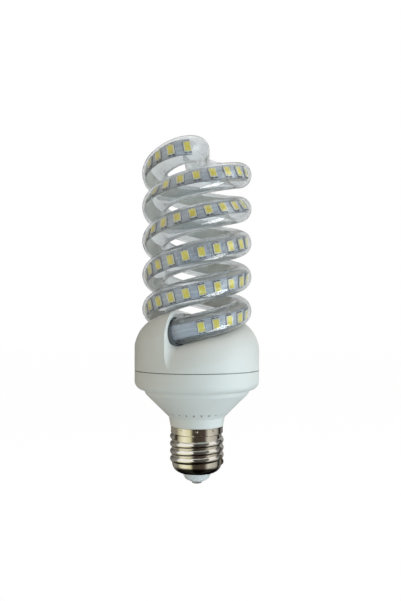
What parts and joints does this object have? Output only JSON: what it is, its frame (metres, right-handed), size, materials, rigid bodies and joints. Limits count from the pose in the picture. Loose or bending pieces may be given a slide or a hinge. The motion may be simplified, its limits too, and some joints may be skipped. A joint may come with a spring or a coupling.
{
  "type": "led light bulb",
  "caption": "Screw-in LED lamp: a clear spiral tube with LED strips inside, on a round white driver housing with a vented neck and an E27 cap.",
  "frame": {"origin": "centre of the base contact's face, on the lamp's axis", "axes": "+Z along the lamp's axis from the cap to the top of the spiral; -Y is the front shown in the picture"},
  "size_m": [0.0606, 0.0606, 0.1649],
  "materials": {
    "clear_glass": "clear, polished",
    "silicone": "soft, satin",
    "strip_board": "satin coated flexible board",
    "package_body": "moulded",
    "phosphor": "resin, slightly glossy",
    "solder": "bright solder",
    "white_plastic": "semi-gloss moulded",
    "nickel": "bright nickel plate",
    "insulator": "glazed",
    "contact_metal": "dull",
    "board_green": "solder resist",
    "black_sleeve": "shrunk sleeve",
    "film_case": "moulded",
    "ferrite": "matt ferrite",
    "copper_wire": "enamelled copper",
    "black_moulding": "moulded",
    "resistor_coat": "flameproof coat",
    "varistor_coat": "dipped coat",
    "red_lead": "insulated wire",
    "black_lead": "insulated wire",
    "white_lead": "insulated wire"
  },
  "bodies": {
    "root": {"spiral_tube": "clear_glass", "tube_seals": "silicone", "led_strip_a": "strip_board", "led_strip_b": "strip_board", "led_packages_a": "package_body", "led_packages_b": "package_body", "led_windows_a": "phosphor", "led_windows_b": "phosphor", "strip_solder_a": "solder", "strip_solder_b": "solder", "upper_cover": "white_plastic", "lower_housing": "white_plastic", "screw_shell": "nickel", "cap_insulator": "insulator", "centre_contact": "contact_metal", "driver_board": "board_green", "bulk_capacitor": "black_sleeve", "film_capacitor": "film_case", "inductor_core": "ferrite", "inductor_winding": "copper_wire", "bridge_rectifier": "black_moulding", "driver_chip": "black_moulding", "output_diode": "black_moulding", "fusible_resistor": "resistor_coat", "varistor": "varistor_coat", "live_lead": "red_lead", "neutral_lead": "black_lead", "output_leads_a": "white_lead", "output_leads_b": "white_lead"}
  },
  "joints": []
}
